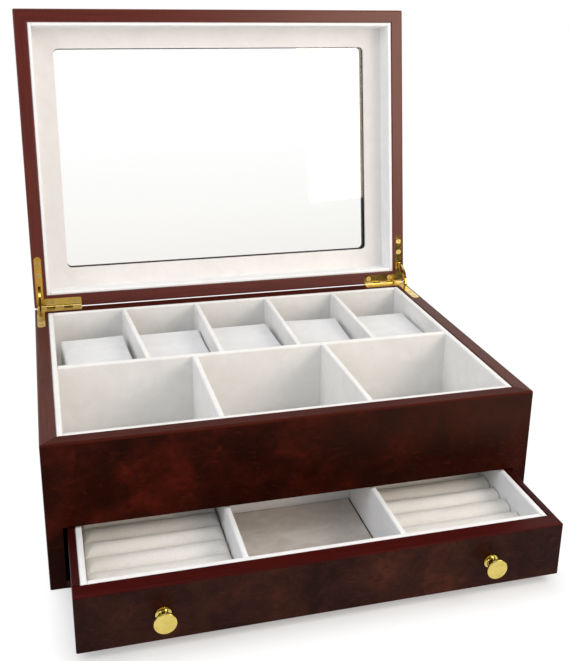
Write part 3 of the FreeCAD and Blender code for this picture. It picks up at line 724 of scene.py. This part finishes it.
for side in ("left", "right"):
    rolls_low, rolls_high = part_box("ring_rolls_" + side)
    roll_pitch = (rolls_high.y - rolls_low.y + ROLL_GAP) / ROLL_COUNT
    roll_high = Vector(
        (rolls_high.x, rolls_low.y + roll_pitch - ROLL_GAP, rolls_high.z - ROLL_SWELL)
    )
    first_roll = soft_block("roll_pattern", rolls_low, roll_high, ROLL_TOP_ROUND, ROLL_END_ROUND)
    puff(first_roll, voxel=0.0012, pressure=60, cap=ROLL_SWELL, held=roll_foot)
    for i in range(ROLL_COUNT):
        roll = copy_to(
            first_roll, "ring_roll_%s_%d" % (side, i + 1),
            Matrix.Translation((0, i * roll_pitch, 0)),
        )
        dent(roll, size=0.012, depth=0.00018)
        roll.data.materials.append(roll_suede)
        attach(roll, "drawer")
        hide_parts("ring_rolls_" + side)
    bpy.data.objects.remove(first_roll)


# Knobs: turned from brass rod and polished, each on a steel screw from inside the drawer.
# The flat face keeps faint lathe rings, so it shines as one even yellow disc with a bright rim.
for side in ("left", "right"):
    low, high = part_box("drawer_knob_" + side)
    knob_centre = (low + high) / 2
    dress(
        ["drawer_knob_" + side],
        polished_brass(
            "turned_brass_knob_" + side, ("#cfb456", "#dac668"), (0.16, 0.26), tuple(knob_centre)
        ),
    )


# Knob screws: two steel screws, cold headed and zinc plated, driven from inside the drawer.
# The plating gives a soft grey with a faint spangle.
SPANGLE_MM = 1.5


def zinc_steel(name):
    """Plated steel with soft grey patches."""
    material, tree = start_material(name)
    place = add_node(tree, "TexCoord").outputs["Object"]
    spangle = add_node(
        tree, "TexNoise", {"Scale": 1000 / SPANGLE_MM, "Detail": 2.0}, {"Vector": place}
    ).outputs["Fac"]
    colour = add_node(
        tree, "ValToRGB", {"stops": [(0.3, "#a9abad"), (0.7, "#c6c8ca")]}, {"Fac": spangle}
    ).outputs["Color"]
    finish_material(tree, {"Metallic": 1.0, "Roughness": 0.35}, {"Base Color": colour})
    return material


dress(["drawer_knob_screws"], zinc_steel("zinc_plated_steel_screws"))


# Table: a wide white sheet under the object, white to the eye but for a soft contact shadow, which
# is drawn by distance from the box as it stands in the photo and fades out with it.
TABLE_SIZE = 2.6
TABLE_DROP = 0.0002
WHITE_LEVEL = 1.05  # a little over 1, to make up for the tint of the glass before it
FOOT_MIDDLE_Y = -0.034
FOOT_HALF = (0.141, 0.152)
SHADOW_REACH = 0.024
WHITE_AT_FOOT = 0.3


def white_to_eye(tree):
    """One for rays that see the background: from the camera, off gloss or through glass."""
    path = add_node(tree, "LightPath").outputs
    seen = add_node(
        tree, "Math", {"operation": "MAXIMUM"},
        {0: path["Is Camera Ray"], 1: path["Is Glossy Ray"]},
    ).outputs[0]
    return add_node(
        tree, "Math", {"operation": "MAXIMUM"}, {0: seen, 1: path["Is Transmission Ray"]}
    ).outputs[0]


bpy.ops.mesh.primitive_plane_add(size=TABLE_SIZE, location=(0, 0, -TABLE_DROP))
table = bpy.context.object
table.name = "studio_table"
table_white, tree = start_material("white_table")
paper = add_node(tree, "BsdfDiffuse", {"Color": linear("#f2f2f2")}).outputs["BSDF"]
place = add_node(
    tree, "Mapping", {"Location": (0, -FOOT_MIDDLE_Y, 0)},
    {"Vector": add_node(tree, "TexCoord").outputs["Object"]},
).outputs["Vector"]
lit = add_node(
    tree, "Emission", {"Color": linear("#ffffff"), "Strength": WHITE_LEVEL}
).outputs["Emission"]
reach = add_node(tree, "VectorMath", {"operation": "ABSOLUTE"}, {0: place}).outputs["Vector"]
beyond = add_node(
    tree, "VectorMath", {"operation": "SUBTRACT", 1: (*FOOT_HALF, 0.0)}, {0: reach}
).outputs["Vector"]
outside = add_node(
    tree, "VectorMath", {"operation": "MAXIMUM", 1: (0.0, 0.0, 0.0)}, {0: beyond}
).outputs["Vector"]
from_box = add_node(tree, "VectorMath", {"operation": "LENGTH"}, {0: outside}).outputs["Value"]
fade = add_node(
    tree, "MapRange",
    {
        "From Min": 0.0, "From Max": SHADOW_REACH,
        "To Min": WHITE_AT_FOOT, "To Max": 1.0, "clamp": True,
    },
    {"Value": from_box},
).outputs["Result"]
share = add_node(
    tree, "Math", {"operation": "MULTIPLY"}, {0: white_to_eye(tree), 1: fade}
).outputs[0]
blend = add_node(tree, "MixShader", links={0: share, 1: paper, 2: lit}).outputs[0]
add_node(tree, "OutputMaterial", links={"Surface": blend})
table.data.materials.append(table_white)
table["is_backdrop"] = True


# Backdrop: plain white all round to the eye and through the glass. Gloss sees it behind the object
# and a dimmer, warmer room in front of it, as brass and lacquer do in a studio. The room is lighter
# low down and to the left.
BACKDROP_BEGINS = (-0.3, 0.4)
WINDOW_TOP = (0.04, 0.09)
WINDOW_LEVELS = (0.62, 0.06)
CORNER_BEGINS = (0.12, 0.32)
CORNER_SHARE = 0.1
LIGHT_LEVEL = 0.68
world = bpy.data.worlds.new("studio_white")
world.use_nodes = True
tree = world.node_tree
tree.nodes.clear()
direction = add_node(tree, "TexCoord").outputs["Generated"]
towards = add_node(tree, "SeparateXYZ", links={"Vector": direction}).outputs
low_window = add_node(
    tree, "MapRange",
    {
        "From Min": WINDOW_TOP[0], "From Max": WINDOW_TOP[1],
        "To Min": WINDOW_LEVELS[0], "To Max": WINDOW_LEVELS[1], "clamp": True,
    },
    {"Value": towards["Z"]},
).outputs["Result"]
dark_corner = add_node(
    tree, "MapRange",
    {
        "From Min": CORNER_BEGINS[0], "From Max": CORNER_BEGINS[1],
        "To Min": 1.0, "To Max": CORNER_SHARE, "clamp": True,
    },
    {"Value": towards["X"]},
).outputs["Result"]
room_in_front = add_node(
    tree, "Math", {"operation": "MULTIPLY"}, {0: low_window, 1: dark_corner}
).outputs[0]
room = add_node(
    tree, "MapRange",
    {
        "From Min": BACKDROP_BEGINS[0], "From Max": BACKDROP_BEGINS[1],
        "To Max": 1.0, "clamp": True,
    },
    {"Value": towards["Y"], "To Min": room_in_front},
).outputs["Result"]
path = add_node(tree, "LightPath").outputs
unseen = add_node(
    tree, "Mix", {"data_type": "FLOAT", 2: LIGHT_LEVEL}, {0: path["Is Glossy Ray"], 3: room}
).outputs[0]
through_glass = add_node(
    tree, "Mix", {"data_type": "FLOAT", 3: WHITE_LEVEL},
    {0: path["Is Transmission Ray"], 2: unseen},
).outputs[0]
strength = add_node(
    tree, "Mix", {"data_type": "FLOAT", 3: 1.0}, {0: path["Is Camera Ray"], 2: through_glass}
).outputs[0]
in_front = add_node(
    tree, "MapRange",
    {
        "From Min": BACKDROP_BEGINS[0], "From Max": BACKDROP_BEGINS[1],
        "To Min": 1.0, "To Max": 0.0, "clamp": True,
    },
    {"Value": towards["Y"]},
).outputs["Result"]
reflected = add_node(
    tree, "Math", {"operation": "SUBTRACT", "use_clamp": True},
    {0: path["Is Glossy Ray"], 1: path["Is Transmission Ray"]},
).outputs[0]
warm = add_node(
    tree, "Math", {"operation": "MULTIPLY"}, {0: in_front, 1: reflected}
).outputs[0]
tint = add_node(
    tree, "Mix", {"data_type": "RGBA", 6: linear("#ffffff"), 7: linear("#ffddb8")}, {0: warm}
).outputs[2]
sky = add_node(
    tree, "Background", links={"Color": tint, "Strength": strength}
).outputs["Background"]
add_node(tree, "OutputWorld", links={"Surface": sky})
bpy.context.scene.world = world


# Lamps: a large soft one overhead, a cool one from the left, a main one from the right and a small
# warm one in front that shows in the lacquer and low in the glass.
def soft_lamp(name, place, target, size, power, colour):
    """A rectangular area lamp, aimed at its target, with its power in watts."""
    light = bpy.data.lights.new(name, "AREA")
    light.shape, light.size, light.size_y = "RECTANGLE", size[0], size[1]
    light.energy = power
    light.color = linear(colour)[:3]
    lamp = bpy.data.objects.new(name, light)
    lamp.location = place
    aim = Vector(target) - Vector(place)
    lamp.rotation_mode = "QUATERNION"
    lamp.rotation_quaternion = aim.to_track_quat("-Z", "Y")
    bpy.context.scene.collection.objects.link(lamp)


soft_lamp("lamp_overhead", (-0.15, 0.3, 1.25), (0, -0.05, 0.05), (0.8, 0.6), 3.5, "#fdfdff")
soft_lamp("lamp_left", (-1.2, -0.45, 0.75), (0, 0, 0.1), (0.8, 0.8), 5, "#eff5ff")
soft_lamp("lamp_right", (0.95, -0.45, 0.85), (0, 0, 0.1), (0.6, 0.6), 5, "#fffaf2")
soft_lamp("lamp_front_right", (0.6, -0.97, 0.55), (0.1, 0.15, 0.25), (0.4, 0.62), 3.7, "#ffe9d0")


# Camera: in front and to the left, a little higher than the open lid, turned down on the tray.
# Its place, lens and shift were solved from the straight edges in the photo.
lens = bpy.data.cameras.new("camera")
lens.lens = 50.878
lens.shift_x, lens.shift_y = -0.01926, -0.07191
lens.clip_start, lens.clip_end = 0.05, 50
camera = bpy.data.objects.new("camera", lens)
camera.location = (-0.14739, -0.61892, 0.3626)
camera.rotation_euler = [math.radians(a) for a in (71.391, -0.942, -15.474)]
bpy.context.scene.collection.objects.link(camera)
bpy.context.scene.camera = camera
bpy.context.scene.view_settings.view_transform = "Standard"

low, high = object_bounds()
